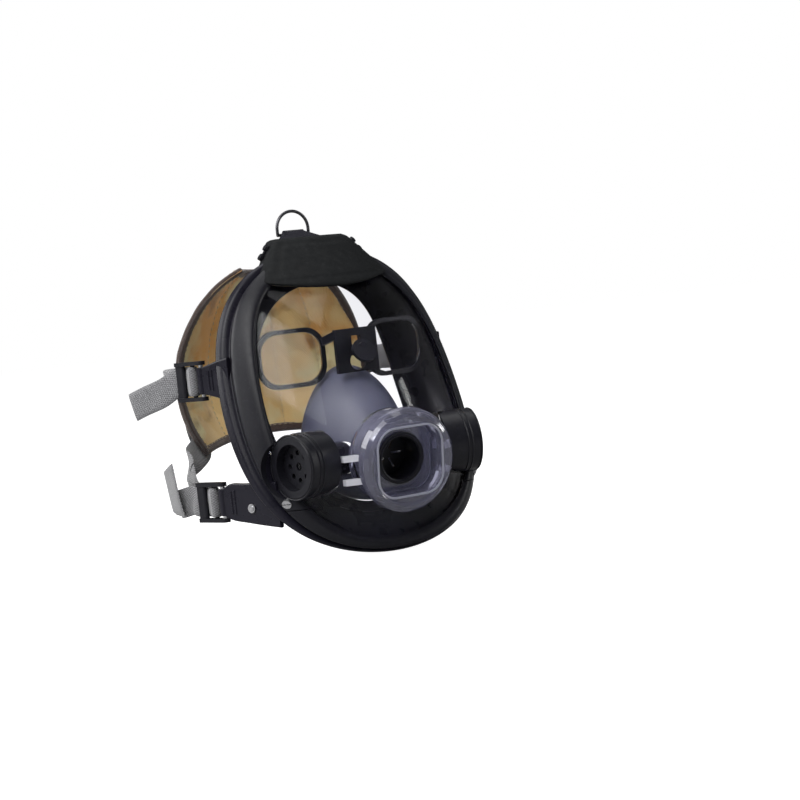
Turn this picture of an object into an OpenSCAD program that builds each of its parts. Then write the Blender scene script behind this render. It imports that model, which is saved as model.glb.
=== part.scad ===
// Full face respirator for firefighting: a clear one-piece lens in a two-part
// bezel, a rubber face seal, a regulator port, two voice emitters, a nose cup
// with inhalation valves, a spectacle insert and an adjustable head harness.
// Millimetres. The front faces -Y, up is +Z, the wearer's left is +X.
// The origin is the centre of the face opening.

/* [Rim and seal] */
// Half width of the seal's outer edge
seal_w = 89; // [80:0.5:98]
// Half height of the seal's outer edge
seal_h = 101.7; // [92:0.1:112]
// Backward tilt of the rim, top to bottom, in degrees
rim_tilt = 19.5; // [12:0.5:26]
// How far the rim sweeps back at the temples
temple_sweep = 20; // [12:1:28]
// Thickness of the seal's rubber
seal_wall = 2.8; // [2:0.1:4]
// Half width of the seal's inner lip
lip_w = 54; // [46:0.5:62]
// Half height of the seal's inner lip
lip_h = 79; // [70:0.5:88]

/* [Lens] */
// Half width of the lens at its rim
lens_w = 72; // [64:0.5:80]
// Half height of the lens at its rim
lens_h = 92; // [84:0.5:98]
// How far the lens bulges in front of its rim
lens_depth = 32; // [24:0.5:42]
// Lens wall thickness
lens_wall = 2.4; // [1.8:0.1:3.5]

/* [Bezel and brow] */
// Height of the bezel ridge over the lens rim
bezel_ridge = 4.2; // [2.5:0.1:6]
// Height above the origin where the two bezel halves meet
bezel_split = -66; // [-75:1:-62]
// Half width of the brow cover at its top edge
brow_w = 28; // [22:0.5:36]
// Diameter of the hanging ring's wire
ring_wire = 2.2; // [1.6:0.1:3]
// Inner radius of the hanging ring's round end
ring_r = 11; // [8:0.1:13]

/* [Regulator port] */
// Radius of the regulator port's bore
port_r = 14; // [11:0.5:17]
// Outer radius of the clear collar
collar_r = 34; // [29:0.5:38]
// Width of the square recess in the collar
recess_w = 48; // [42:1:54]
// Downward pitch of the port, in degrees
port_pitch = 8; // [0:1:20]

/* [Voice emitters] */
// Outer radius of an emitter housing
voice_r = 21; // [17:0.5:24]
// Length of an emitter housing
voice_len = 24; // [18:1:30]
// Angle of the emitters away from straight ahead, in degrees
voice_turn = 78; // [65:1:90]

/* [Spectacle insert] */
// Width of an eye opening
eye_w = 42; // [36:1:48]
// Height of an eye opening
eye_h = 33; // [28:1:38]
// Distance of each eye centre from the middle
eye_x = 39.5; // [32:0.5:44]
// Thickness of the frame's bar
rim_bar = 3; // [2:0.1:4]

/* [Straps and harness] */
// Width of the strap webbing
strap_w = 19; // [15:0.5:25]
// Thickness of the strap webbing
strap_t = 1.8; // [1.2:0.1:2.5]
// Half width of the head harness
harness_w = 78; // [66:1:88]
// Thickness of the harness fabric
harness_t = 2.6; // [1.5:0.1:4]

/* [Hidden] */
$fn = 48;
gap = 0.25;                 // between neighbouring parts of one body
run_fit = 0.05;             // radial clearance of a running fit
rim_steps = 48;             // steps around the rim
black = [0.10, 0.10, 0.12];
rubber = [0.13, 0.13, 0.15];
clear = [0.70, 0.71, 0.78, 0.45];
silicone = [0.36, 0.38, 0.44];
steel = [0.55, 0.56, 0.58];
webbing = [0.62, 0.62, 0.62];
tan_cloth = [0.78, 0.65, 0.43];
brown = [0.22, 0.13, 0.09];

// How wide the rim's outline is at angle t, against a plain ellipse
function fullness(t) = 1 - 0.05 * cos(t) + 0.27 * pow(cos(t), 2);

// A point of a rim-shaped ring: t runs from the top, r = [half width, half height, sweep, forward shift]
function rim_point(t, r) = let (z = r[1] * cos(t))
    [r[0] * sin(t) * fullness(t), tan(rim_tilt) * z + r[2] * pow(sin(t), 2) + r[3], z];

function rim_ring(r) = [for (i = [0 : rim_steps - 1]) rim_point(360 * i / rim_steps, r)];

// A ring between the lens rim (u = 0) and the seal's outer edge (u = 1), raised v off the surface
band_w = seal_w - lens_w;
band_h = seal_h - lens_h;
function band(u, v) = [lens_w + band_w * u + 0.8 * v, lens_h + band_h * u + 0.75 * v,
    (u > 0 ? temple_sweep * pow(u, 0.8) : 0), -4 + 6 * u - 0.62 * v];

// Triangles that join ring a to ring b of n points each
function ring_faces(a, b, n) = [for (i = [0 : n - 1]) let (j = (i + 1) % n)
    each [[a * n + i, a * n + j, b * n + j], [a * n + i, b * n + j, b * n + i]]];

// A hoop whose section is the closed loop of rings given
module hoop(rings) {
    m = len(rings);
    polyhedron(points = [for (r = rings) each rim_ring(r)],
        faces = [for (k = [0 : m - 1]) each ring_faces((k + 1) % m, k, rim_steps)]);
}

// A closed solid through a list of point rings, with flat fans on its ends
module skin(rings) {
    n = len(rings[0]);
    m = len(rings);
    polyhedron(points = [for (r = rings) each r],
        faces = concat([for (k = [0 : m - 2]) each ring_faces(k + 1, k, n)],
            [for (i = [1 : n - 2]) [0, i, i + 1]],
            [for (i = [1 : n - 2]) let (b = (m - 1) * n) [b, b + i + 1, b + i]]));
}

// Mirrors its children to the wearer's right (s = -1) or leaves them on the left (s = 1)
module side(s) {
    if (s > 0) children(); else mirror([1, 0, 0]) children();
}

// ---- lens ----
lens_z = -10;               // height of the lens's foremost point
lens_power = 2.2;           // how boxy the bulge is
lens_rim_u = 0.15;          // where the lens ends under the bezel
lens_rings = 9;

function lens_point(t, f, inset) = let (
        r = band(lens_rim_u, 0),
        w = r[0] - 0.8 * inset, h = r[1] - 0.8 * inset,
        z = lens_z * (1 - f) + f * h * cos(t))
    [f * w * sin(t) * fullness(t),
     tan(rim_tilt) * z + f * f * r[2] * pow(sin(t), 2) + r[3] + 0.7 * inset
        - (lens_depth - 0.3 * inset) * (1 - pow(f, lens_power)), z];

function lens_ring(f, inset) = [for (i = [0 : rim_steps - 1]) lens_point(360 * i / rim_steps, f, inset)];

module lens() color(clear) difference() {
    n = rim_steps;
    m = lens_rings;
    polyhedron(
        points = concat([lens_point(0, 0, 0), lens_point(0, 0, lens_wall)],
            [for (k = [1 : m]) each lens_ring(k / m, 0)],
            [for (k = [1 : m]) each lens_ring(k / m, lens_wall)]),
        faces = concat(
            [for (i = [0 : n - 1]) [0, 2 + i, 2 + (i + 1) % n]],
            [for (i = [0 : n - 1]) [1, 2 + m * n + (i + 1) % n, 2 + m * n + i]],
            [for (k = [0 : m - 2]) for (f = ring_faces(k + 1, k, n)) [f[0] + 2, f[1] + 2, f[2] + 2]],
            [for (k = [0 : m - 2]) for (f = ring_faces(m + k, m + k + 1, n)) [f[0] + 2, f[1] + 2, f[2] + 2]],
            [for (f = ring_faces(2 * m - 1, m - 1, n)) [f[0] + 2, f[1] + 2, f[2] + 2]]));
    at_port() translate([0, 0, -30]) cylinder(r = collar_seat_r + gap, h = 60);
    voice_ways();
}

// ---- face seal ----
seal_front = [band(0.22, -seal_wall), band(0.22, -0.3), band(0.56, -0.3), band(0.63, -0.5),
    band(0.70, 0.7), band(0.80, 1.7), band(0.92, 1.1), band(1, 0)];
seal_back = [[86.5, 100.8, 22, 5], [81, 98, 26, 9], [73, 93, 27, 12.5], [64, 87, 25, 15], [lip_w, lip_h, 22, 16.5]];
seal_inner = [for (k = [len(seal_back) - 1 : -1 : 0]) let (r = seal_back[k], e = (k == len(seal_back) - 1) ? 0.6 : 1)
    [r[0] - 0.9 * seal_wall * e, r[1] - 0.9 * seal_wall * e, r[2] - 1, r[3] - 0.9 * seal_wall]];

module face_seal() color(rubber) difference() {
    hoop(concat(seal_front, seal_back, seal_inner, [band(0.75, -seal_wall - 1)]));
    voice_ways();
}

// The holes that the two emitter housings sit in
module voice_ways() for (s = [-1, 1]) side(s) at_voice()
    translate([0, 0, -voice_len - gap]) cylinder(r = voice_r + gap, h = voice_len + 20);

// ---- bezel ----
bezel_loop = [band(0, 0.15), band(-0.05, 0.5), band(-0.02, 0.5 * bezel_ridge), band(0.08, 0.86 * bezel_ridge),
    band(0.24, bezel_ridge), band(0.42, bezel_ridge - 0.2), band(0.52, 0.72 * bezel_ridge), band(0.58, 0.8), band(0.56, 0)];

module bezel_half(low, high) color(black) difference() {
    intersection() {
        hoop(bezel_loop);
        translate([-150, -150, low]) cube([300, 300, high - low]);
    }
    voice_ways();
    for (s = [-1, 1]) side(s) at_clamp() {
        cylinder(r = screw_r + gap, h = 20, center = true, $fn = 24);
        translate([0, 0, -gap]) cylinder(r = screw_head_r + gap, h = 8, $fn = 24);
    }
}

// Where a bezel screw sits on the wearer's left; local +Z points out
screw_r = 1.9;
screw_head_r = 3.1;
screw_ring = band(0.3, bezel_ridge);
screw_at = acos((bezel_split + 5) / screw_ring[1]);
screw_out = [0.8 * sin(screw_at), -0.62, 0.75 * cos(screw_at)];
module at_clamp() translate(rim_point(screw_at, screw_ring))
    rotate([0, acos(screw_out[2] / norm(screw_out)), atan2(screw_out[1], screw_out[0])]) children();

module bezel_screw(s) color(steel) side(s) at_clamp() difference() {
    union() {
        translate([0, 0, -3.4]) cylinder(r = screw_r, h = 3.6);
        cylinder(r = screw_head_r, h = 1.4);
    }
    translate([-0.4, -4, 0.7]) cube([0.8, 8, 2]);
}

module upper_bezel() bezel_half(bezel_split + gap, 200);
module lower_bezel() bezel_half(-200, bezel_split - gap);

// The outside of lens, bezel and seal as one plug, grown by gap, that the parts lying on them are shaped around.
// It starts at lens ring k0 and ends behind the seal.
module mask_plug(k0) skin(concat(
    [for (k = [k0 : lens_rings - 1]) lens_ring(k / lens_rings, -gap)],
    [for (r = [band(-0.09, 0.3), band(-0.07, 0.5 * bezel_ridge + gap), band(0.05, 0.86 * bezel_ridge + gap), band(0.24, bezel_ridge + gap),
        band(0.44, bezel_ridge), band(0.56, 0.72 * bezel_ridge + gap), band(0.62, 1.1), band(0.70, 1.1), band(0.80, 2.1), band(0.92, 1.5),
        band(1.02, 0.4), [87, 101.3, 22, 5], [81.5, 98.5, 26, 9.2], [73.5, 93.5, 27, 12.9], [58, 80, 24, 17]]) rim_ring(r)]));

// ---- brow cover and hanging ring ----
brow_low = 73.5;            // bottom edge, in the middle
brow_high = 110;
brow_corner = [49, 82];     // where its slanted sides end
brow_cols = 12;
brow_rows = 6;

// The brow cover's front surface
function brow_front(x, z) = 4.5 + 0.88 * (z - brow_low) + 0.0055 * x * x;
function brow_half(z) = brow_corner[0] + (brow_w - brow_corner[0]) * (z - brow_corner[1]) / (brow_high - brow_corner[1]);
function brow_row(b, back) = let (z = brow_low + (brow_high - brow_low) * b)
    [for (i = [0 : brow_cols]) let (a = 2 * i / brow_cols - 1, x = a * brow_half(max(z, brow_corner[1])) * (z < brow_corner[1] ? 1 - 0.1 * pow(1 - b * 4, 2) : 1),
        h = z + (b < 0.24 ? 6 * a * a * (0.24 - b) / 0.24 : 0))
        [x, brow_front(x, h) + back, h]];

module brow_cover() color(black) difference() {
    skin([for (j = [0 : brow_rows]) let (b = j / brow_rows, f = brow_row(b, 0), k = brow_row(b, 11))
        concat(f, [for (i = [brow_cols : -1 : 0]) k[i]])]);
    mask_plug(5);
}

// Two round studs on a strip, on each slanted side of the brow cover
stud_z = 104;               // height of the upper stud
stud_pitch = 7.5;
brow_slant = atan2(brow_corner[0] - brow_w, brow_high - brow_corner[1]);
module brow_stud(s) color(black) side(s)
    translate([brow_half(stud_z) + gap, brow_front(brow_half(stud_z), stud_z) + 5.5, stud_z]) rotate([0, 90 - brow_slant, 0]) {
        cylinder(r = 2.4, h = 2.2);
        translate([stud_pitch, 0, 0]) cylinder(r = 2.4, h = 2.2);
        translate([0, -1.2, 0]) cube([stud_pitch, 2.4, 1.1]);
    }

ring_axis = [0, 65, 113.5]; // the hanging ring's hinge
ring_leg = 4;               // straight part beside the bar

module ring_keeper() color(rubber) difference() {
    union() {
        difference() {
            hull() {
                translate([-17, 49.5, 92]) cube([34, 8, 17]);
                translate([-7.5, ring_axis[1] - 2, ring_axis[2] - 3]) cube([15, 2, 5]);
            }
            mask_plug(lens_rings);
        }
        translate([-7.5, ring_axis[1], ring_axis[2]]) rotate([0, 90, 0]) cylinder(r = 3, h = 15);
    }
    translate([-20, ring_axis[1], ring_axis[2]]) rotate([0, 90, 0]) cylinder(r = ring_wire / 2 + run_fit, h = 40);
}

module hang_ring() color(steel) translate(ring_axis) {
    r = ring_r + ring_wire / 2;
    translate([-r, 0, 0]) rotate([0, 90, 0]) cylinder(r = ring_wire / 2, h = 2 * r);
    for (s = [-1, 1]) translate([s * r, 0, 0]) {
        sphere(r = ring_wire / 2);
        cylinder(r = ring_wire / 2, h = ring_leg);
    }
    translate([0, 0, ring_leg]) rotate([90, 0, 0])
        rotate_extrude(angle = 180) translate([r, 0]) circle(r = ring_wire / 2);
}

// ---- regulator port ----
port_centre = [0, -46, -41];
collar_seat_r = 30;         // radius of the collar where it passes the lens
collar_high = 15;           // how far the collar's lip stands out

module at_port() translate(port_centre) rotate([90 + port_pitch, 0, 0]) children();

module square_rounded(w, r, h) linear_extrude(h) offset(r) square([w - 2 * r, w - 2 * r - 3], center = true);

module port_collar() color(clear) at_port() difference() {
    rotate_extrude($fn = 64) polygon([[26, -13], [collar_seat_r, -13], [collar_seat_r, 3.4], [collar_r - 1, 4.6], [collar_r, 7],
        [collar_r - 0.6, collar_high - 3.2], [collar_r - 2.6, collar_high - 0.8], [collar_r - 5, collar_high],
        [collar_r - 7.5, collar_high - 1], [20, collar_high - 1], [20, -4], [26, -4]]);
    translate([0, 0, -2]) square_rounded(recess_w, 13, 30);
    translate([0, 0, -10]) cylinder(r = port_r + 3, h = 20);
}

// Clear fins that brace the collar against the emitter on one side
fin_z = [-37, -52];
fin_t = 4;
fin_y = -42.2;
module collar_fins(s) color(clear) side(s) for (z = fin_z) hull() {
    translate([collar_seat_r + 0.5, fin_y - 6.4, z - fin_t / 2]) cube([1, 5, fin_t]);
    translate([38.6, fin_y - 2.2, z - fin_t / 2]) cube([1, 4.2, fin_t]);
}

module port_plate() color(clear) at_port() difference() {
    translate([0, 0, -1.8]) square_rounded(recess_w - 1, 12.5, 3);
    translate([0, 0, -5]) cylinder(r = port_r + 2 + gap, h = 12);
}

module port_tube() color(black) at_port() difference() {
    union() {
        translate([0, 0, -16]) cylinder(r = port_r + 2, h = 18.5);
        translate([0, 0, 1.5]) cylinder(r = port_r + 3, h = 1.2);
    }
    translate([0, 0, -17]) cylinder(r = port_r, h = 22);
}

// Slotted disc behind the tube, in front of the nose cup's space
screen_t = 1.2;
module port_screen() color(black) at_port() translate([0, 0, -16.3 - screen_t]) difference() {
    cylinder(r = port_r + 2, h = screen_t);
    for (i = [0 : 5]) rotate([0, 0, 60 * i]) translate([3.5, -0.6, -1]) cube([8, 1.2, screen_t + 2]);
}

module port_gasket() color(rubber) at_port() translate([0, 0, -6.2]) difference() {
    cylinder(r = 19, h = 2);
    translate([0, 0, -1]) cylinder(r = port_r + 2 + gap, h = 4);
}

// ---- voice emitters ----
voice_face = [68.5, -27.5, -38.5];
recess_deep = 8;            // from the emitter's face to its grille

// Local +Z points out of the wearer's left emitter
module at_voice() translate(voice_face) rotate([0, 0, voice_turn - 90]) rotate([0, 90, 0]) children();

module voice_housing(s) color(black) side(s) at_voice() difference() {
    union() {
        translate([0, 0, -voice_len]) cylinder(r = voice_r, h = voice_len - 1.5);
        translate([0, 0, -1.5]) cylinder(r1 = voice_r, r2 = voice_r - 1.5, h = 1.5);
    }
    translate([0, 0, -recess_deep]) cylinder(r = voice_r - 6, h = recess_deep + 1);
    translate([0, 0, -recess_deep - 6]) cylinder(r = voice_r - 8, h = 7);
    translate([0, 0, -voice_len - 1]) cylinder(r = voice_r - 10, h = voice_len);
}

module voice_grille(s) color(black) side(s) at_voice() difference() {
    translate([0, 0, 0.1 - recess_deep]) cylinder(r = voice_r - 6 - gap, h = 1.6);
    for (i = [0 : 7]) rotate([0, 0, 45 * i]) translate([9, 0, -recess_deep - 1]) cylinder(r = 1.8, h = 5, $fn = 20);
    translate([0, 0, -recess_deep - 1]) cylinder(r = 2.6, h = 5, $fn = 20);
}

module voice_diaphragm(s) color(steel) side(s) at_voice() translate([0, 0, -recess_deep - 4]) {
    cylinder(r = voice_r - 8 - gap, h = 0.8);
    cylinder(r = 4, h = 1.4);
}

duct_len = 20;
duct_r = 10.5;
module voice_duct(s) color(rubber) side(s) difference() {
    at_voice() translate([0, 0, -voice_len - duct_len - gap]) difference() {
        cylinder(r = duct_r, h = duct_len);
        translate([0, 0, -1]) cylinder(r = duct_r - 2, h = duct_len + 2);
    }
    nose_solid(0.3);
}

// ---- nose cup and inhalation valves ----
// Rings from the port back to the face: [y, half width, half height, centre height]
nose_rings = [[-33, 19.5, 20, -42], [-27, 22, 26, -39], [-12, 29, 37.5, -32.5], [4, 37, 44, -26], [15, 38, 44, -23], [20, 33, 41, -21]];
nose_steps = 40;

function nose_ring(r, grow) = [for (i = [0 : nose_steps - 1]) let (t = 360 * i / nose_steps)
    [(r[1] + grow) * sin(t) * (1 - 0.22 * cos(t)), r[0], r[3] + (r[2] + grow) * cos(t)]];

module nose_solid(grow) skin([for (r = nose_rings) nose_ring(r, grow)]);

module nose_cup() color(silicone) difference() {
    nose_solid(0);
    skin(concat([nose_ring([-34, 17.5, 18, -42], 0)], [for (k = [1 : len(nose_rings) - 1]) nose_ring(nose_rings[k], -2)],
        [nose_ring([30, 31, 39, -21], 0)]));
    at_port() translate([0, 0, -40]) cylinder(r = port_r + 2 + gap, h = 60);
    for (s = [-1, 1]) side(s) {
        at_voice() translate([0, 0, -80]) cylinder(r = 10.5, h = 60);
        at_valve() translate([0, 0, -10]) cylinder(r = valve_r + 1.4 + gap, h = 20);
        at_valve() translate([0, 0, 1.4]) cylinder(r = valve_rim + gap, h = 6);
    }
}

// ---- chin cup, a web between the seal's lip and the nose cup's lower edge ----
chin_cols = 30;
chin_rows = 5;
chin_t = 2;                 // thickness of the web
chin_reach = [60, 52];      // how far it runs each side of the bottom, in degrees, at the lip and at the nose cup

function nose_edge(t, y) = let (w = lookup(y, [for (r = nose_rings) [r[0], r[1]]]),
    h = lookup(y, [for (r = nose_rings) [r[0], r[2]]]), c = lookup(y, [for (r = nose_rings) [r[0], r[3]]]))
    [(w + 0.5) * sin(t) * (1 - 0.22 * cos(t)), y, c + (h + 0.5) * cos(t)];

// u from -1 to 1 across, v from the lip to the nose cup
function chin_point(u, v, side_y) = let (
    a = rim_point(180 + chin_reach[0] * u, [lip_w - 1, lip_h - 1, 22, 16.5]),
    b = nose_edge(180 + chin_reach[1] * u, -8 + 14 * u * u))
    a + (b - a) * v + [0, side_y - 2 * v * (1 - v), 0];

module chin_cup() color(rubber) {
    n = chin_cols + 1;
    id = function(i, j, k) (k * (chin_rows + 1) + j) * n + i;
    edge = concat([for (i = [0 : chin_cols - 1]) [i, 0]], [for (j = [0 : chin_rows - 1]) [chin_cols, j]],
        [for (i = [chin_cols : -1 : 1]) [i, chin_rows]], [for (j = [chin_rows : -1 : 1]) [0, j]]);
    polyhedron(
        points = [for (k = [0, 1]) for (j = [0 : chin_rows]) for (i = [0 : chin_cols])
            chin_point(2 * i / chin_cols - 1, j / chin_rows, (k - 0.5) * chin_t)],
        faces = concat(
            [for (j = [0 : chin_rows - 1]) for (i = [0 : chin_cols - 1]) each
                [[id(i, j, 0), id(i + 1, j, 0), id(i + 1, j + 1, 0)], [id(i, j, 0), id(i + 1, j + 1, 0), id(i, j + 1, 0)]]],
            [for (j = [0 : chin_rows - 1]) for (i = [0 : chin_cols - 1]) each
                [[id(i, j, 1), id(i + 1, j + 1, 1), id(i + 1, j, 1)], [id(i, j, 1), id(i, j + 1, 1), id(i + 1, j + 1, 1)]]],
            [for (k = [0 : len(edge) - 1]) let (a = edge[k], b = edge[(k + 1) % len(edge)]) each
                [[id(a[0], a[1], 0), id(a[0], a[1], 1), id(b[0], b[1], 1)], [id(a[0], a[1], 0), id(b[0], b[1], 1), id(b[0], b[1], 0)]]]));
}

valve_r = 7;                // radius of the valve's opening
valve_rim = 9.4;
valve_centre = [33.5, 2, -34];

// Local +Z points out of the nose cup on the wearer's left
module at_valve() translate(valve_centre) rotate([0, 0, -22]) rotate([0, 90, 0]) children();

module valve_seat(s) color(black) side(s) at_valve() difference() {
    union() {
        translate([0, 0, -2]) cylinder(r = valve_r + 1.4, h = 4);
        translate([0, 0, 2]) cylinder(r = valve_rim, h = 1);
    }
    translate([0, 0, -3]) cylinder(r = valve_r - 1.5, h = 8);
    translate([0, 0, -3]) cylinder(r = valve_r + 0.4, h = 3);
}

module valve_flap(s) color(silicone) side(s) at_valve() translate([0, 0, -0.9]) {
    cylinder(r = valve_r, h = 0.7);
}

// ---- spectacle insert ----
eye_y = 12;                 // eye openings' distance behind the origin
eye_z = 29;
eye_yaw = 8;
plate_y = -7;               // front of the bridge plate
plate_w = 31;
plate_low = 15.5;
plate_high = 44.5;
slot_w = 7;                 // keyhole slot

module eye_shape(grow) resize([eye_w + 2 * grow, eye_h + 2 * grow]) offset(12, $fn = 40) square([eye_w - 24, eye_h - 24], center = true);

module at_eye(s) side(s) translate([eye_x, eye_y, eye_z]) rotate([0, 0, eye_yaw]) rotate([90, 0, 0]) children();

module spectacle_frame() color(black) {
    for (s = [-1, 1]) {
        at_eye(s) translate([0, 0, -1.5]) linear_extrude(3) difference() {
            eye_shape(rim_bar);
            eye_shape(0);
        }
        side(s) hull() {
            translate([plate_w / 2 - 3, plate_y, 38.5]) cube([3, 3, 5]);
            translate([eye_x - eye_w / 2 - 2.5, eye_y - 5, 35]) cube([2, 3, 5]);
        }
    }
    difference() {
        translate([-plate_w / 2, plate_y, plate_low]) cube([plate_w, 3, plate_high - plate_low]);
        translate([-slot_w / 2, plate_y - 1, plate_low + 7]) cube([slot_w, 5, plate_high - plate_low - 12]);
        translate([0, plate_y + 4, plate_low + 7]) rotate([90, 0, 0]) cylinder(r = 6, h = 5);
    }
}

module spectacle_lens(s) color(clear) at_eye(s) translate([0, 0, -0.8]) linear_extrude(1.6) eye_shape(-gap);

// A post on the lens with a T head, on which the insert's keyhole plate hangs
post_z = 30;
module spectacle_bracket() color(black) {
    translate([0, -14.8, post_z - 1.6]) rotate([60, 0, 0]) cylinder(r = 8.3, h = 2.4);
    translate([0, plate_y - 0.4, post_z]) rotate([90, 0, 0]) cylinder(r = 4.5, h = 7.8);
    translate([-slot_w / 2 + 0.4, plate_y - 1, post_z - 3.6]) cube([slot_w - 0.8, 4.8, 7.2]);
    translate([-slot_w / 2 - 1.2, plate_y + 3.4, post_z - 3.6]) cube([slot_w + 2.4, 2, 7.2]);
}

// ---- strap lugs and buckles ----
temple_pivot = [90, 45.8, 21];
jaw_pivot = [89.6, 34.8, -60];
strap_yaw = -20.6;          // the straps leave this far outboard of straight back
pin_r = 1.6;
barrel_r = 3.2;
barrel_w = 18;

// Local +X runs back along the strap, +Y inboard, +Z up, on the wearer's left
module at_pivot(p) translate(p) rotate([0, 0, 90 + strap_yaw]) children();

module lug(s, p, reach, root_w, drop, neck_w) color(rubber) side(s) difference() {
    union() {
        hull() {
            at_pivot(p) translate([-reach, -1.6, -root_w / 2 - drop]) cube([1, 3.6, root_w]);
            at_pivot(p) translate([-10, -1.8, -neck_w / 2]) cube([1, 3.6, neck_w]);
        }
        hull() {
            at_pivot(p) translate([-10, -1.8, -neck_w / 2]) cube([1, 3.6, neck_w]);
            at_pivot(p) translate([-2, -1.8, -barrel_w / 2]) cube([1, 3.6, barrel_w]);
        }
        at_pivot(p) translate([0, 0, -barrel_w / 2]) cylinder(r = barrel_r, h = barrel_w);
    }
    at_pivot(p) translate([0, 0, -20]) cylinder(r = pin_r + run_fit, h = 40);
    mask_plug(lens_rings);
}

module temple_lug(s) lug(s, temple_pivot, 26, 28, 0, 22);
module jaw_lug(s) lug(s, jaw_pivot, 50, 30, 2, 25);

module jaw_rivet(s) color(steel) side(s) at_pivot(jaw_pivot) translate([-27, -1.9, -4]) rotate([90, 0, 0]) {
    cylinder(r = 3, h = 0.9);
    cylinder(r = 1.8, h = 1.4);
}

buckle_len = 22;
rail_w = 2.6;
grip_w = 4.5;               // width of the flat thumb bar at the buckle's back
bar_x = 8.5;                // place of the bar that the webbing turns round
buckle_in = strap_w / 2 + 1.2;  // half the clear width between the rails

module buckle(s, p) color(black) side(s) at_pivot(p) {
    for (e = [-1, 1]) difference() {
        hull() {
            translate([0, 0, e * (buckle_in + rail_w / 2)]) cylinder(r = 3, h = rail_w, center = true);
            translate([buckle_len, 0, e * (buckle_in + rail_w / 2)]) cylinder(r = 2.4, h = rail_w, center = true);
        }
        cylinder(r = pin_r, h = 60, center = true);
    }
    hull() for (x = [buckle_len - grip_w, buckle_len]) translate([x, 0, 0]) cylinder(r = 1.7, h = 2 * buckle_in + 1, center = true);
    translate([bar_x, 0.6, 0]) cylinder(r = 1.6, h = 2 * buckle_in + 1, center = true);
}

module buckle_pin(s, p) color(steel) side(s) at_pivot(p)
    cylinder(r = pin_r, h = 2 * (buckle_in + rail_w), center = true);

module tail(s, p, tip, tab) color(webbing) side(s) {
    hull() {
        at_pivot(p) translate([buckle_len + 2.6, -1.5, -strap_w / 2]) cube([1, strap_t, strap_w]);
        translate(tip) rotate([0, 0, 90 + strap_yaw]) translate([0, -1.5, -strap_w / 2]) cube([1, strap_t, strap_w]);
    }
    translate(tip) rotate([0, 0, 90 + strap_yaw]) translate([0, -2.2, -tab[1] / 2]) cube([tab[0], 3.2, tab[1]]);
}

temple_tip = [111, 83.2, 12];
jaw_tip = [101.5, 78, -52];
temple_tab = [20, strap_w + 1]; // length and height of a tail's end
jaw_tab = [7, 32];

module strap_run(s, p, end) color(webbing) side(s) hull() {
    at_pivot(p) translate([buckle_len + 2.6, 1.4, -strap_w / 2]) cube([1, strap_t, strap_w]);
    translate(end) rotate([0, 0, 120]) translate([-1, 0, -strap_w / 2]) cube([1, strap_t, strap_w]);
}

temple_anchor = [78, 113, 20];
jaw_anchor = [66.4, 106, -27];

// ---- head harness ----
harness_low = -33;
harness_high = 93;
harness_mid = 12;           // height of the widest part
harness_half = 86;
harness_back = 150;
harness_cols = 16;
harness_rows = 12;

function harness_point(u, v, t) = let (
        z0 = harness_low + (harness_high - harness_low) * v,
        z = z0 + 7 * (1 - u * u) * pow(1 - v, 4),
        half = harness_w * sqrt(1 - pow((z0 - harness_mid) / harness_half, 2)))
    [half * u * (1 - 0.01 * t), harness_back - t - 30 * u * u - 18 * pow((z - 22) / 72, 2), z];

// The index of the harness sheet's point in column i, row j, on face k
function id(i, j, k) = (k * (harness_rows + 1) + j) * (harness_cols + 1) + i;

module head_harness() color(tan_cloth) {
    c = harness_cols;
    r = harness_rows;
    edge = concat([for (i = [0 : c]) [i, 0]], [for (j = [1 : r]) [c, j]],
        [for (i = [c - 1 : -1 : 0]) [i, r]], [for (j = [r - 1 : -1 : 1]) [0, j]]);
    polyhedron(
        points = [for (k = [0, 1]) for (j = [0 : r]) for (i = [0 : c])
            harness_point(2 * i / c - 1, j / r, k * harness_t)],
        faces = concat(
            [for (j = [0 : r - 1]) for (i = [0 : c - 1]) each
                [[id(i, j, 0), id(i + 1, j, 0), id(i + 1, j + 1, 0)], [id(i, j, 0), id(i + 1, j + 1, 0), id(i, j + 1, 0)]]],
            [for (j = [0 : r - 1]) for (i = [0 : c - 1]) each
                [[id(i, j, 1), id(i + 1, j + 1, 1), id(i + 1, j, 1)], [id(i, j, 1), id(i, j + 1, 1), id(i + 1, j + 1, 1)]]],
            [for (k = [0 : len(edge) - 1]) let (a = edge[k], b = edge[(k + 1) % len(edge)]) each
                [[id(a[0], a[1], 0), id(a[0], a[1], 1), id(b[0], b[1], 1)], [id(a[0], a[1], 0), id(b[0], b[1], 1), id(b[0], b[1], 0)]]]));
}

face_seal();
lens();
upper_bezel();
lower_bezel();
brow_cover();
bezel_screw(-1);  // bezel_screw_r
bezel_screw(1);  // bezel_screw_l
brow_stud(-1);  // brow_stud_r
brow_stud(1);  // brow_stud_l
ring_keeper();
hang_ring();
port_collar();
collar_fins(-1);  // collar_fins_r
collar_fins(1);  // collar_fins_l
port_plate();
port_tube();
port_screen();
port_gasket();
voice_housing(-1);  // voice_housing_r
voice_housing(1);  // voice_housing_l
voice_grille(-1);  // voice_grille_r
voice_grille(1);  // voice_grille_l
voice_diaphragm(-1);  // voice_diaphragm_r
voice_diaphragm(1);  // voice_diaphragm_l
voice_duct(-1);  // voice_duct_r
voice_duct(1);  // voice_duct_l
nose_cup();
chin_cup();
valve_seat(-1);  // valve_seat_r
valve_seat(1);  // valve_seat_l
valve_flap(-1);  // valve_flap_r
valve_flap(1);  // valve_flap_l
spectacle_frame();
spectacle_lens(-1);  // spectacle_lens_r
spectacle_lens(1);  // spectacle_lens_l
spectacle_bracket();
temple_lug(-1);  // temple_lug_r
temple_lug(1);  // temple_lug_l
jaw_lug(-1);  // jaw_lug_r
jaw_lug(1);  // jaw_lug_l
jaw_rivet(-1);  // jaw_rivet_r
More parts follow.
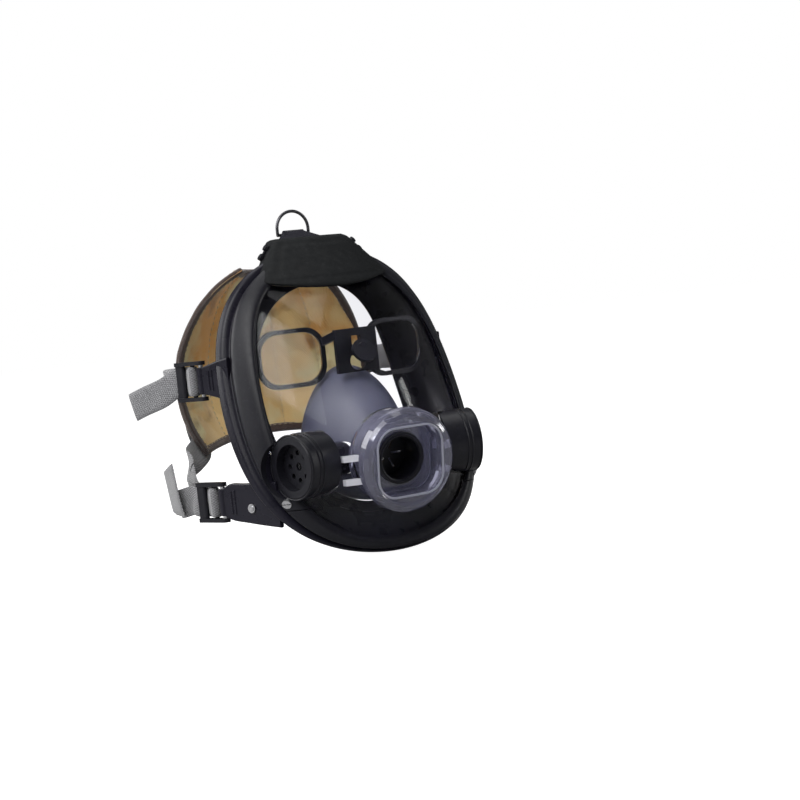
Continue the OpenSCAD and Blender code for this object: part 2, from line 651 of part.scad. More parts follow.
jaw_rivet(1);  // jaw_rivet_l
buckle(-1, temple_pivot);  // temple_buckle_r
buckle(1, temple_pivot);  // temple_buckle_l
buckle(-1, jaw_pivot);  // jaw_buckle_r
buckle(1, jaw_pivot);  // jaw_buckle_l
buckle_pin(-1, temple_pivot);  // temple_pin_r
buckle_pin(1, temple_pivot);  // temple_pin_l
buckle_pin(-1, jaw_pivot);  // jaw_pin_r
buckle_pin(1, jaw_pivot);  // jaw_pin_l
tail(-1, temple_pivot, temple_tip, temple_tab);  // temple_tail_r
tail(1, temple_pivot, temple_tip, temple_tab);  // temple_tail_l
tail(-1, jaw_pivot, jaw_tip, jaw_tab);  // jaw_tail_r
tail(1, jaw_pivot, jaw_tip, jaw_tab);  // jaw_tail_l
strap_run(-1, temple_pivot, temple_anchor);  // temple_strap_r
strap_run(1, temple_pivot, temple_anchor);  // temple_strap_l
strap_run(-1, jaw_pivot, jaw_anchor);  // jaw_strap_r
strap_run(1, jaw_pivot, jaw_anchor);  // jaw_strap_l
head_harness();
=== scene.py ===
"""Looks of a full face respirator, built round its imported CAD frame.

Lengths in this file are millimetres until make() turns them into metres.
The front faces -Y, up is +Z and the wearer's left is +X.
"""
import math

import bpy
import numpy as np
from mathutils import Matrix, Vector, noise


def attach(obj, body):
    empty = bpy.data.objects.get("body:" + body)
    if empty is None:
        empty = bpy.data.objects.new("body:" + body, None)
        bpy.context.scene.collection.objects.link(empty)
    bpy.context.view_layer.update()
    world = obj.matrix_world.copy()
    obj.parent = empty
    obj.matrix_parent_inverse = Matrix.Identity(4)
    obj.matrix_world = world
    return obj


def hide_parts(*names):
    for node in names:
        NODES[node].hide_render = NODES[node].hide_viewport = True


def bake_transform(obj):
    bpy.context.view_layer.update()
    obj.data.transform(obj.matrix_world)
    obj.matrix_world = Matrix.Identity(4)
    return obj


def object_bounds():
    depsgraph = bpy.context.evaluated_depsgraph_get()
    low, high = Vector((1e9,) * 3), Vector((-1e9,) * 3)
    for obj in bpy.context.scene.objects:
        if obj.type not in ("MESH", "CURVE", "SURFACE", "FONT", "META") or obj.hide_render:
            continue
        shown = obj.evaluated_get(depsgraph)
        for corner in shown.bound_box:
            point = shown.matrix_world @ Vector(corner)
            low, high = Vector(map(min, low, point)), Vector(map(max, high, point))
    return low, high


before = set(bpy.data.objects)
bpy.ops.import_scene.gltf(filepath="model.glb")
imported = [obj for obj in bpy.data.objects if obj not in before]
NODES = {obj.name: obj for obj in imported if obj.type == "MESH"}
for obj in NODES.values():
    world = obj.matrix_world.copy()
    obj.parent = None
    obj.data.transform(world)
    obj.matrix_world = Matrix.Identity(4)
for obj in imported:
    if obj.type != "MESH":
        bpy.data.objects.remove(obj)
CAD_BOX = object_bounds()
MM = 0.001
SIDES = (("l", 1), ("r", -1))


# ---------------------------------------------------------------- camera
def make_camera():
    """The photograph's viewpoint: the wearer's right front, slightly raised, head tilted."""
    azimuth, elevation, roll, distance = (math.radians(-29), math.radians(3), math.radians(6.5), 1.1)
    back = Vector((math.sin(azimuth) * math.cos(elevation),
                   -math.cos(azimuth) * math.cos(elevation), math.sin(elevation)))
    right = Vector((math.cos(azimuth), math.sin(azimuth), 0))
    up = back.cross(right)
    x = math.cos(roll) * right - math.sin(roll) * up
    y = math.sin(roll) * right + math.cos(roll) * up
    data = bpy.data.cameras.new("camera")
    camera = bpy.data.objects.new("camera", data)
    bpy.context.scene.collection.objects.link(camera)
    m = Matrix((x, y, back)).transposed().to_4x4()
    m.translation = back * distance
    camera.matrix_world = m
    data.sensor_width, data.lens = 36, 74.25
    data.shift_x, data.shift_y = 0.05375, -0.0065  # the mask stands left of the photograph's middle
    data.clip_start, data.clip_end = 0.01, 50
    bpy.context.scene.camera = camera


make_camera()


# ---------------------------------------------------------------- materials
class Finish:
    """A node material with one Principled shader."""

    def __init__(self, name, **values):
        self.mat = bpy.data.materials.new(name)
        self.mat.use_nodes = True
        self.tree = self.mat.node_tree
        self.tree.nodes.clear()
        self.out = self.tree.nodes.new("ShaderNodeOutputMaterial")
        self.shader = self.add("ShaderNodeBsdfPrincipled", **values)
        self.tree.links.new(self.shader.outputs[0], self.out.inputs[0])
        self.place = self.add("ShaderNodeTexCoord").outputs["Object"]

    def add(self, kind, **values):
        node = self.tree.nodes.new(kind)
        for key, value in values.items():
            if hasattr(node, key):
                setattr(node, key, value)
            else:
                self.put(node.inputs[key.replace("_", " ")], value)
        return node

    def put(self, socket, value):
        if isinstance(value, bpy.types.NodeSocket):
            self.tree.links.new(value, socket)
        else:
            if socket.type == "RGBA" and len(value) == 3:
                value = (*value, 1)
            socket.default_value = value

    def set(self, name, value):
        self.put(self.shader.inputs[name], value)

    def math(self, operation, a, b=0.0):
        node = self.tree.nodes.new("ShaderNodeMath")
        node.operation = operation
        self.put(node.inputs[0], a)
        self.put(node.inputs[1], b)
        return node.outputs[0]

    def mix(self, fac, a, b):
        node = self.tree.nodes.new("ShaderNodeMix")
        node.data_type = "RGBA"
        self.put(node.inputs[0], fac)
        self.put(node.inputs[6], a)
        self.put(node.inputs[7], b)
        return node.outputs[2]

    def range(self, value, low, high, to_low=0.0, to_high=1.0):
        node = self.tree.nodes.new("ShaderNodeMapRange")
        for i, v in enumerate((value, low, high, to_low, to_high)):
            self.put(node.inputs[i], v)
        return node.outputs[0]

    def noise(self, scale, detail=3.0, place=None, rough=0.5):
        return self.add("ShaderNodeTexNoise", Vector=place or self.place, Scale=scale,
                        Detail=detail, Roughness=rough).outputs[0]

    def stretched(self, x, y, z):
        node = self.add("ShaderNodeMapping", Vector=self.place)
        node.inputs["Scale"].default_value = (x, y, z)
        return node.outputs[0]

    def bump(self, height, strength, distance, under=None):
        node = self.add("ShaderNodeBump", Height=height, Strength=strength, Distance=distance)
        if under is not None:
            self.put(node.inputs["Normal"], under)
        self.put(self.shader.inputs["Normal"], node.outputs[0])
        return node.outputs[0]

    def lets_lamps_through(self, tint=(0.9, 0.9, 0.92)):
        """Light passes clear plastic without a dark shadow."""
        path = self.add("ShaderNodeLightPath").outputs["Is Shadow Ray"]
        clear = self.add("ShaderNodeBsdfTransparent", Color=tint)
        mixed = self.tree.nodes.new("ShaderNodeMixShader")
        self.put(mixed.inputs[0], path)
        self.tree.links.new(self.shader.outputs[0], mixed.inputs[1])
        self.tree.links.new(clear.outputs[0], mixed.inputs[2])
        self.tree.links.new(mixed.outputs[0], self.out.inputs[0])


def moulded_rubber():
    f = Finish("seal_rubber")
    cloud = f.noise(45, 4)
    dust = f.range(f.noise(260, 6), 0.55, 0.8)
    base = f.mix(cloud, (0.006, 0.006, 0.010), (0.013, 0.012, 0.020))
    f.set("Base Color", f.mix(f.math("MULTIPLY", dust, 0.06), base, (0.05, 0.05, 0.06)))
    f.set("Roughness", f.range(f.noise(90, 5), 0.3, 0.7, 0.24, 0.34))
    f.shader.inputs["Specular IOR Level"].default_value = 0.20
    f.bump(f.noise(1400, 2), 0.10, 0.00010, f.bump(f.noise(60, 3), 0.08, 0.0005))
    return f.mat


def black_plastic():
    f = Finish("black_plastic")
    base = f.mix(f.noise(60, 4), (0.006, 0.006, 0.009), (0.012, 0.012, 0.016))
    dust = f.math("MULTIPLY", f.range(f.noise(420, 6), 0.58, 0.8), 0.12)
    f.set("Base Color", f.mix(dust, base, (0.06, 0.06, 0.07)))
    f.set("Roughness", f.range(f.noise(300, 5), 0.3, 0.7, 0.28, 0.44))
    f.shader.inputs["Specular IOR Level"].default_value = 0.20
    f.bump(f.noise(2600, 2), 0.35, 0.00008)
    return f.mat


def matt_cover():
    f = Finish("brow_plastic")
    base = f.mix(f.noise(40, 4), (0.004, 0.0045, 0.005), (0.007, 0.008, 0.009))
    dust = f.math("MULTIPLY", f.range(f.noise(300, 6), 0.58, 0.8), 0.12)
    f.set("Base Color", f.mix(dust, base, (0.06, 0.06, 0.065)))
    f.shader.inputs["Specular IOR Level"].default_value = 0.12
    f.set("Roughness", f.range(f.noise(200, 5), 0.3, 0.7, 0.55, 0.72))
    grain = f.add("ShaderNodeTexVoronoi", Vector=f.place, Scale=1500.0).outputs[0]
    f.bump(grain, 0.4, 0.00015)
    return f.mat


def clear_plastic(name, tint, rough, weight, shadow, ior, coat):
    f = Finish(name)
    f.shader.inputs["IOR"].default_value = ior
    f.shader.inputs["Coat Weight"].default_value = coat
    f.shader.inputs["Coat Roughness"].default_value = 0.05
    f.shader.inputs["Transmission Weight"].default_value = weight
    f.set("Base Color", f.mix(f.noise(12, 2), tint, tuple(c * 0.97 for c in tint)))
    scratches = f.range(f.noise(300, 6, f.stretched(1, 1, 0.08)), 0.60, 0.75, rough, rough + 0.10)
    f.set("Roughness", scratches)
    f.bump(f.noise(30, 2), 0.03, 0.0008)
    f.lets_lamps_through(shadow)
    return f.mat


def silicone():
    f = Finish("silicone")
    f.set("Base Color", f.mix(f.noise(25, 3), (0.062, 0.066, 0.098), (0.095, 0.098, 0.140)))
    f.set("Roughness", f.range(f.noise(120, 4), 0.3, 0.7, 0.34, 0.5))
    f.shader.inputs["Subsurface Weight"].default_value = 0.25
    f.shader.inputs["Subsurface Radius"].default_value = (0.004, 0.004, 0.005)
    f.bump(f.noise(900, 2), 0.15, 0.0001)
    return f.mat


def steel(name, dark, bright, rough):
    f = Finish(name, Metallic=1.0)
    brushed = f.noise(500, 4, f.stretched(0.15, 1, 1))
    f.set("Base Color", f.mix(brushed, dark, bright))
    f.set("Roughness", f.range(brushed, 0.3, 0.7, rough - 0.08, rough + 0.1))
    f.bump(brushed, 0.1, 0.00005)
    return f.mat


def woven(name, dark, light, pitch, mottles):
    """A plain weave in the piece's own UV, which is in metres: u across and v along the cloth.

    Pitch is the threads' spacing in millimetres. Each mottle is (scale, low, high, colour, share).
    """
    f = Finish(name)
    uv = f.add("ShaderNodeSeparateXYZ", Vector=f.add("ShaderNodeTexCoord").outputs["UV"])
    k = 2 * math.pi / (pitch * MM)
    across = f.math("SINE", f.math("MULTIPLY", uv.outputs[0], k))
    along = f.math("SINE", f.math("MULTIPLY", uv.outputs[1], k * 0.8))
    weave = f.range(f.math("MULTIPLY", across, along), -1, 1)
    thread = f.mix(weave, dark, light)
    for scale, low, high, colour, share in mottles:
        patch = f.math("MULTIPLY", f.range(f.noise(scale, 4), low, high), share)
        thread = f.mix(patch, thread, f.mix(weave, tuple(c * 0.55 for c in colour), colour))
    f.set("Base Color", thread)
    f.set("Roughness", f.range(f.noise(400, 3), 0.3, 0.7, 0.75, 0.92))
    f.shader.inputs["Sheen Weight"].default_value = 0.4
    f.shader.inputs["Sheen Roughness"].default_value = 0.5
    f.bump(weave, 0.9, 0.00035, f.bump(f.noise(180, 4), 0.4, 0.0004))
    return f.mat


RUBBER = moulded_rubber()
PLASTIC = black_plastic()
MATT = matt_cover()
# name, tint, roughness, transmission, shadow tint, refractive index, coat
LENS = clear_plastic("lens_polycarbonate", (0.90, 0.90, 0.93), 0.01, 1.0, (0.86, 0.86, 0.89), 1.12, 0.12)
COLLAR = clear_plastic("collar_polycarbonate", (0.34, 0.34, 0.44), 0.08, 0.80, (0.5, 0.5, 0.58), 1.45, 0.3)
# The edge beads' lighter, half-frosted tint is partly painted highlight: it draws the collar's edges as
# pale lines.
EDGE_PAINTED_HIGHLIGHT = clear_plastic("edge_polycarbonate", (0.46, 0.47, 0.54), 0.3, 0.5, (0.6, 0.6, 0.65), 1.45, 0.3)
# The fins' pale tint is partly painted highlight: it shows the clear fins as bright light-grey glints.
FROSTED_PAINTED_HIGHLIGHT = clear_plastic("fin_polycarbonate", (0.80, 0.80, 0.84), 0.35, 0.45, (0.7, 0.7, 0.75), 1.45, 0.3)
EYEGLASS = clear_plastic("insert_lens", (0.96, 0.96, 0.97), 0.005, 1.0, (0.97, 0.97, 0.97), 1.1, 0.12)
SILICONE = silicone()
STEEL = steel("dark_steel", (0.06, 0.06, 0.065), (0.13, 0.13, 0.14), 0.34)
SCREW_STEEL = steel("screw_steel", (0.35, 0.35, 0.36), (0.6, 0.6, 0.62), 0.28)
WEBBING = woven("webbing", (0.08, 0.08, 0.085), (0.21, 0.21, 0.22), 1.7,
                [(60, 0.45, 0.7, (0.27, 0.27, 0.28), 0.35)])
ARAMID = woven("aramid", (0.56, 0.35, 0.12), (0.98, 0.71, 0.31), 1.5,
               [(16, 0.50, 0.58, (0.90, 0.42, 0.09), 0.85), (24, 0.52, 0.62, (1.00, 0.92, 0.50), 0.85),
                (30, 0.58, 0.68, (0.36, 0.17, 0.06), 0.75)])
BINDING = woven("binding", (0.020, 0.010, 0.008), (0.075, 0.040, 0.028), 1.1, [])
THREAD = woven("thread", (0.30, 0.24, 0.14), (0.62, 0.52, 0.34), 0.5, [])


# ---------------------------------------------------------------- geometry helpers
def make(name, verts, faces, mat=None, body=None, slot=None, replaces=(), sharp=40, uv=None):
    """A smooth-shaded mesh piece from points in millimetres.

    Without a body, the piece is not attached.
    """
    mesh = bpy.data.meshes.new(name)
    mesh.from_pydata([tuple(c * MM for c in p) for p in verts], [], faces)
    mesh.update()
    if uv is not None:
        layer = mesh.uv_layers.new(name="UVMap")
        loops = np.zeros(len(mesh.loops), np.int32)
        mesh.loops.foreach_get("vertex_index", loops)
        layer.data.foreach_set("uv", (np.array(uv, np.float32)[loops] * MM).ravel())
    piece = bpy.data.objects.new(name, mesh)
    bpy.context.scene.collection.objects.link(piece)
    smooth(piece, sharp)
    if mat is not None:
        piece.data.materials.append(mat)
    if replaces:
        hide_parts(*replaces)
    if body:
        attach(piece, body)
    return piece


def smooth(piece, sharp):
    piece.data.polygons.foreach_set("use_smooth", [True] * len(piece.data.polygons))
    piece.data.set_sharp_from_angle(angle=math.radians(sharp))


def settle(piece, sharp=40):
    """Applies a piece's modifiers to its mesh."""
    graph = bpy.context.evaluated_depsgraph_get()
    mesh = bpy.data.meshes.new_from_object(piece.evaluated_get(graph))
    piece.modifiers.clear()
    piece.data = mesh
    smooth(piece, sharp)


def carve(piece, tools, sharp=40, solver="EXACT"):
    """Cuts piece with tool meshes, given as (verts, faces) in millimetres.

    The bezel's hoops need the MANIFOLD solver: EXACT returns them as empty meshes.
    """
    made = []
    for verts, faces in tools:
        tool = make("tool", verts, faces)
        modifier = piece.modifiers.new("cut", "BOOLEAN")
        modifier.operation, modifier.solver, modifier.object = "DIFFERENCE", solver, tool
        made.append(tool)
    bpy.context.view_layer.update()
    settle(piece, sharp)
    for tool in made:
        bpy.data.objects.remove(tool)


def place(origin, *turns):
    """A 4x4 frame: OpenSCAD's translate(origin) rotate(turn) rotate(turn)..., turns as (axis, degrees)."""
    m = Matrix.Translation(origin)
    for axis, angle in turns:
        m = m @ Matrix.Rotation(math.radians(angle), 4, axis)
    return m


def mirrored(m, s):
    return Matrix.Diagonal((s, 1, 1, 1)) @ m


def circle(radius, z, steps=96):
    turns = [2 * math.pi * k / steps for k in range(steps)]
    return [(radius * math.cos(a), radius * math.sin(a), z) for a in turns]


def tube(m, radius, low, high, steps=96):
    """A closed cylinder along the frame's Z."""
    verts = [m @ Vector(p) for z in (low, high) for p in circle(radius, z, steps)]
    faces = [(i, (i + 1) % steps, steps + (i + 1) % steps, steps + i) for i in range(steps)]
    faces += [tuple(reversed(range(steps))), tuple(range(steps, 2 * steps))]
    if m.to_3x3().determinant() < 0:
        faces = [tuple(reversed(f)) for f in faces]
    return verts, faces


def block(low, high):
    (a, b, c), (d, e, f) = low, high
    verts = [(x, y, z) for z in (c, f) for y in (b, e) for x in (a, d)]
    return verts, [(0, 2, 3, 1), (4, 5, 7, 6), (0, 1, 5, 4), (1, 3, 7, 5), (3, 2, 6, 7), (2, 0, 4, 6)]


def curve_through(points, parts, closed=False):
    """Catmull-Rom: points of any dimension, parts pieces between neighbours."""
    p = np.array(points, float)
    n = len(p)
    out = []
    for i in range(n if closed else n - 1):
        if closed:
            a, b, c, d = p[(i - 1) % n], p[i], p[(i + 1) % n], p[(i + 2) % n]
        else:
            a, b, c, d = p[max(i - 1, 0)], p[i], p[i + 1], p[min(i + 2, n - 1)]
        for k in range(parts):
            t = k / parts
            out.append(0.5 * ((2 * b) + (c - a) * t + (2 * a - 5 * b + 4 * c - d) * t ** 2
                              + (3 * b - a - 3 * c + d) * t ** 3))
    if not closed:
        out.append(p[-1])
    return np.array(out)


def grid_faces(rows, cols, close_rows=False):
    """Quads between neighbouring rings; the columns always close on themselves."""
    return [(r * cols + c, r * cols + (c + 1) % cols,
             ((r + 1) % rows) * cols + (c + 1) % cols, ((r + 1) % rows) * cols + c)
            for r in range(rows if close_rows else rows - 1)
            for c in range(cols)]


def flip(faces):
    return [tuple(reversed(f)) for f in faces]


def signed_volume(verts, faces):
    v = np.array(verts, float)
    total = 0.0
    for f in faces:
        for k in range(1, len(f) - 1):
            total += float(np.dot(v[f[0]], np.cross(v[f[k]], v[f[k + 1]])))
    return total / 6


def outward(verts, faces):
    return flip(faces) if signed_volume(verts, faces) < 0 else faces


def loft(rings):
    """Points and faces through rings of equal count; the first and last ring are capped."""
    cols = len(rings[0])
    verts = [p for r in rings for p in r]
    faces = grid_faces(len(rings), cols)
    faces += [tuple(reversed(range(cols))), tuple(range((len(rings) - 1) * cols, len(rings) * cols))]
    return verts, faces


def sweep(points, normals, width, thick):
    """A flat webbing strip through points: returns verts, faces and uv. Its edges are rounded."""
    centre = curve_through(points, 8)
    normal = curve_through(normals, 8)
    tangent = np.gradient(centre, axis=0)
    tangent /= np.linalg.norm(tangent, axis=1)[:, None]
    normal -= tangent * (normal * tangent).sum(1)[:, None]
    normal /= np.linalg.norm(normal, axis=1)[:, None]
    side = np.cross(tangent, normal)
    travel = np.concatenate([[0], np.cumsum(np.linalg.norm(np.diff(centre, axis=0), axis=1))])
    u = np.linspace(-1, 1, 9)
    half = thick / 2 * (1 - 0.55 * np.abs(u) ** 6)
    section = [(a * width / 2, h) for a, h in zip(u, half)]
    section += [(width / 2 + thick * 0.18, 0)]
    section += [(a * width / 2, -h) for a, h in zip(u[::-1], half[::-1])]
    section += [(-width / 2 - thick * 0.18, 0)]
    rings, uv = [], []
    for c, n, s, v in zip(centre, normal, side, travel):
        rings.append([c + s * a + n * b for a, b in section])
        uv += [(a, v) for a, _ in section]
    verts, faces = loft(rings)
    return verts, faces, uv


def stitches(path, normals, length=2.6, gap=1.5, radius=0.32, lift=0.15):
    """A row of short thread stitches along a path of points, lying on the cloth, as (verts, faces)."""
    p = np.array(path, float)
    n = np.array(normals, float)
    travel = np.concatenate([[0], np.cumsum(np.linalg.norm(np.diff(p, axis=0), axis=1))])
    at = lambda s, q: np.array([np.interp(s, travel, q[:, k]) for k in range(3)])
    verts, faces = [], []
    s = 0.0
    while s + length < travel[-1]:
        ends = [at(s, p), at(s + length / 2, p), at(s + length, p)]
        up = at(s + length / 2, n)
        up /= np.linalg.norm(up)
        along = ends[2] - ends[0]
        along /= np.linalg.norm(along)
        side = np.cross(along, up)
        base = len(verts)
        for e, r, l in zip(ends, (0.45, 1.0, 0.45), (-0.1, lift + radius * 0.5, -0.1)):
            for k in range(6):
                a = math.pi * k / 3
                verts.append(e + up * (l + radius * r * math.sin(a))
                             + side * radius * r * math.cos(a))
        faces += [tuple(base + i for i in f) for f in grid_faces(3, 6)]
        faces += [tuple(base + i for i in range(5, -1, -1)), tuple(base + 12 + i for i in range(6))]
        s += length + gap
    return verts, faces


def joined(parts):
    """Several (verts, faces) as one."""
    verts, faces = [], []
    for v, f in parts:
        base = len(verts)
        verts += list(v)
        faces += [tuple(base + i for i in q) for q in f]
    return verts, faces


def swap_side(verts, faces, s):
    """A left-hand piece, mirrored to the wearer's right when s is -1."""
    if s > 0:
        return verts, faces
    return [(-p[0], p[1], p[2]) for p in verts], flip(faces)


# -------------------------------- the mask's own formulas, as in the CAD source
SEAL_W, SEAL_H, LENS_W, LENS_H = 89, 101.7, 72, 92  # half widths and half heights
TILT, SWEEP = math.tan(math.radians(19.5)), 20  # the rim leans forward and its sides sweep back
SEAL_WALL, LENS_WALL, LENS_DEPTH = 2.8, 2.4, 32
RIDGE, SPLIT, SPLIT_GAP = 4.2, -66, 0.25  # the bezel's height, and where its halves meet
LIP_W, LIP_H = 54, 79
STEPS = 240


def fullness(t):
    return 1 - 0.05 * np.cos(t) + 0.27 * np.cos(t) ** 2


def band(u, v):
    """A rim curve from the lens's edge (u 0) to the seal's edge (u 1), raised by v."""
    return [LENS_W + (SEAL_W - LENS_W) * u + 0.8 * v, LENS_H + (SEAL_H - LENS_H) * u + 0.75 * v,
            SWEEP * max(u, 0) ** 0.8, -4 + 6 * u - 0.62 * v]


def rim_point(t, r):
    """Points at angle t on the rim curve r: half width, half height, sweep, forward shift."""
    z = r[1] * np.cos(t)
    return np.stack([r[0] * np.sin(t) * fullness(t), TILT * z + r[2] * np.sin(t) ** 2 + r[3], z], -1)


def rim_ring(r):
    return rim_point(2 * np.pi * np.arange(STEPS) / STEPS, r)


def lens_ring(f, inset):
    """A ring of the dished lens, f of the way from its middle to its edge."""
    t = 2 * np.pi * np.arange(STEPS) / STEPS
    r = band(0.15, 0)
    w, h = r[0] - 0.8 * inset, r[1] - 0.8 * inset
    z = -10 * (1 - f) + f * h * np.cos(t)
    y = (TILT * z + f * f * r[2] * np.sin(t) ** 2 + r[3] + 0.7 * inset
         - (LENS_DEPTH - 0.3 * inset) * (1 - f ** 2.2))
    return np.stack([f * w * np.sin(t) * fullness(t), y, z], -1)


def hoop(name, loop, parts, mat, slot, node):
    """A closed section swept round the whole rim."""
    rings = [rim_ring(r) for r in curve_through(loop, parts, closed=True)]
    verts = [p for r in rings for p in r]
    faces = outward(verts, grid_faces(len(rings), STEPS, close_rows=True))
    return make(name, verts, faces, mat, "facepiece", slot, [node], sharp=50)


AT_PORT = place((0, -46, -41), ("X", 98))
AT_VOICE = place((68.5, -27.5, -38.5), ("Z", -12), ("Y", 90))
AT_VALVE = place((33.5, 2, -34), ("Z", -22), ("Y", 90))
VOICE_R, VOICE_LEN, PORT_R, COLLAR_SEAT, GAP = 21, 24, 14, 30, 0.25


def voice_ways():
    """Both voice housings as cutting tools, with a gap round them."""
    return [tube(mirrored(AT_VOICE, s), VOICE_R + GAP, -VOICE_LEN - GAP, 20) for _, s in SIDES]


# ---------------------------------------------------------------- seal, lens and bezel
seal_front = [band(0.22, -SEAL_WALL), band(0.22, -0.3), band(0.56, -0.3), band(0.63, -0.5),
              band(0.70, 0.7), band(0.80, 1.7), band(0.92, 1.1), band(1, 0)]
seal_back = [[86.5, 100.8, 22, 5], [81, 98, 26, 9], [73, 93, 27, 12.5], [64, 87, 25, 15],
             [LIP_W, LIP_H, 22, 16.5]]
seal_inner = [[r[0] - 0.9 * SEAL_WALL * e, r[1] - 0.9 * SEAL_WALL * e, r[2] - 1, r[3] - 0.9 * SEAL_WALL]
              for r, e in zip(seal_back[::-1], (0.6, 1, 1, 1, 1))]
seal = hoop("seal", seal_front + seal_back + seal_inner + [band(0.75, -SEAL_WALL - 1)], 4,
            RUBBER, "seal_rubber", "face_seal")
carve(seal, voice_ways(), sharp=50)

lens_rings = 36
front = [lens_ring(k / lens_rings, 0) for k in range(1, lens_rings + 1)]
inner = [lens_ring(k / lens_rings, LENS_WALL) for k in range(lens_rings, 0, -1)]
verts = [p for r in front + inner for p in r]
faces = flip(grid_faces(2 * lens_rings, STEPS))
tips = [lens_ring(0, 0)[0], lens_ring(0, LENS_WALL)[0]]
faces += [(len(verts), i, (i + 1) % STEPS) for i in range(STEPS)]
last = (2 * lens_rings - 1) * STEPS
faces += [(len(verts) + 1, last + (i + 1) % STEPS, last + i) for i in range(STEPS)]
lens = make("visor", verts + tips, faces, LENS, "facepiece", "clear_polycarbonate", ["lens"])
carve(lens, voice_ways() + [tube(AT_PORT, COLLAR_SEAT + GAP, -30, 30)])

R = RIDGE
bezel_loop = [band(0, 0.15), band(-0.05, 0.5), band(-0.02, 0.5 * R), band(0.08, 0.86 * R), band(0.24, R),
              band(0.42, R - 0.2), band(0.52, 0.72 * R), band(0.58, 0.8), band(0.56, 0)]
for name, node, low, high in (("bezel_upper", "upper_bezel", -200, SPLIT + SPLIT_GAP),
                              ("bezel_lower", "lower_bezel", SPLIT - SPLIT_GAP, 200)):
    half = hoop(name, bezel_loop, 3, PLASTIC, "black_plastic", node)
    carve(half, [block((-150, -150, low), (150, 150, high))], solver="MANIFOLD")
    if node == "upper_bezel":
        carve(half, voice_ways(), solver="MANIFOLD")

# The outside of lens, bezel and seal as one plug, for trimming what lies on them
plug_rings = [lens_ring(k / 9, -0.25) for k in range(1, 9)]
plug_rings += [rim_ring(r) for r in (
    band(-0.09, 0.3), band(-0.07, 0.5 * R + 0.25), band(0.05, 0.86 * R + 0.25), band(0.24, R + 0.25),
    band(0.44, R), band(0.56, 0.72 * R + 0.25), band(0.62, 1.1), band(0.70, 1.1), band(0.80, 2.1),
    band(0.92, 1.5), band(1.02, 0.4), [87, 101.3, 22, 5], [81.5, 98.5, 26, 9.2],
    [73.5, 93.5, 27, 12.9], [58, 80, 24, 17])]
plug_verts, plug_faces = loft(plug_rings)
MASK_PLUG = (plug_verts, flip(plug_faces))

# ---------------------------------------------------------------- brow cover
BROW_LOW, BROW_HIGH, BROW_TOP_W = 73.5, 110, 28
BROW_CORNER_W, BROW_CORNER_Z = 49, 82


def clamp(value, low=0, high=1):
    return min(high, max(low, value))


def brow_cover():
    """A closed shell in front of the bezel's top, with a panel sunk into its face."""
    cols, rows, deep = 60, 36, 11

    def front(x, z):
        return 4.5 + 0.88 * (z - BROW_LOW) + 0.0055 * x * x

    def half(z):
        """Half width at height z."""
        if z >= BROW_CORNER_Z:
            w = (BROW_CORNER_W + (BROW_TOP_W - BROW_CORNER_W) * (z - BROW_CORNER_Z)
                 / (BROW_HIGH - BROW_CORNER_Z))
        else:
            w = BROW_CORNER_W * (1 - 0.1 * ((BROW_CORNER_Z - z) / 8.5) ** 2)
        top = max(0, (z - (BROW_HIGH - 3)) / 3)
        return w - 2.5 * (1 - math.sqrt(max(0, 1 - top * top)))

    rings = []
    for j in range(rows + 1):
        b = j / rows
        z = BROW_LOW + (BROW_HIGH - BROW_LOW) * b
        ring = []
        for face in (0, 1):
            for i in (range(cols + 1) if not face else range(cols, -1, -1)):
                a = 2 * i / cols - 1
                x = a * half(z)
                h = z + (6 * a * a * (0.24 - b) / 0.24 if b < 0.24 else 0)
                edge = max(0, (abs(a) - 0.90) / 0.10)
                low = max(0, (0.10 - b) / 0.10)
                high = max(0, (b - 0.93) / 0.07)
                corner = min(1, edge * edge + low * low + high * high)
                drop = 3.0 * (1 - math.sqrt(max(0, 1 - corner)))
                panel = (0.5 * clamp((0.78 - abs(a)) / 0.03) * clamp((b - 0.2) / 0.04)
                         * clamp((0.86 - b) / 0.04))
                ring.append((x, front(x, h) + (deep if face else drop - panel), h))
        rings.append(ring)
    verts, faces = loft(rings)
    piece = make("brow_shell", verts, flip(faces), MATT, "facepiece", "black_plastic", ["brow_cover"])
    carve(piece, [MASK_PLUG], sharp=35)


brow_cover()

# ---------------------------------------------------------------- nose cup
# y, half width, half height and middle height of each ring, from the port to the wearer's face
NOSE_RINGS = [[-33, 19.5, 20, -42], [-27, 22, 26, -39], [-12, 29, 37.5, -32.5], [4, 37, 44, -26],
              [15, 38, 44, -23], [20, 33, 41, -21]]


def nose_ring(r, grow, steps=120):
    t = 2 * np.pi * np.arange(steps) / steps
    return np.stack([(r[1] + grow) * np.sin(t) * (1 - 0.22 * np.cos(t)),
                     np.full(steps, r[0]), r[3] + (r[2] + grow) * np.cos(t)], -1)


outer = [nose_ring(r, -0.4) for r in curve_through(NOSE_RINGS, 6)]
lip = [nose_ring([21.2, 32, 40, -21], 0), nose_ring([20.6, 30.8, 38.8, -21], 0)]
inside = [nose_ring(r, -2) for r in curve_through(NOSE_RINGS, 6)[:-1][::-1]]
shell = outer + lip + inside[:-3]  # the inside stops short of the port plate
verts, faces = loft(shell)
nose = make("nose_cup_shell", verts, flip(faces), SILICONE, "facepiece", "silicone", ["nose_cup"])
carve(nose, [tube(AT_PORT, PORT_R + 2.25, -40, 20)]
      + [tube(mirrored(AT_VOICE, s), 10.5, -80, -20) for _, s in SIDES]
      + [tube(mirrored(AT_VALVE, s), 8.65, -10, 10) for _, s in SIDES])

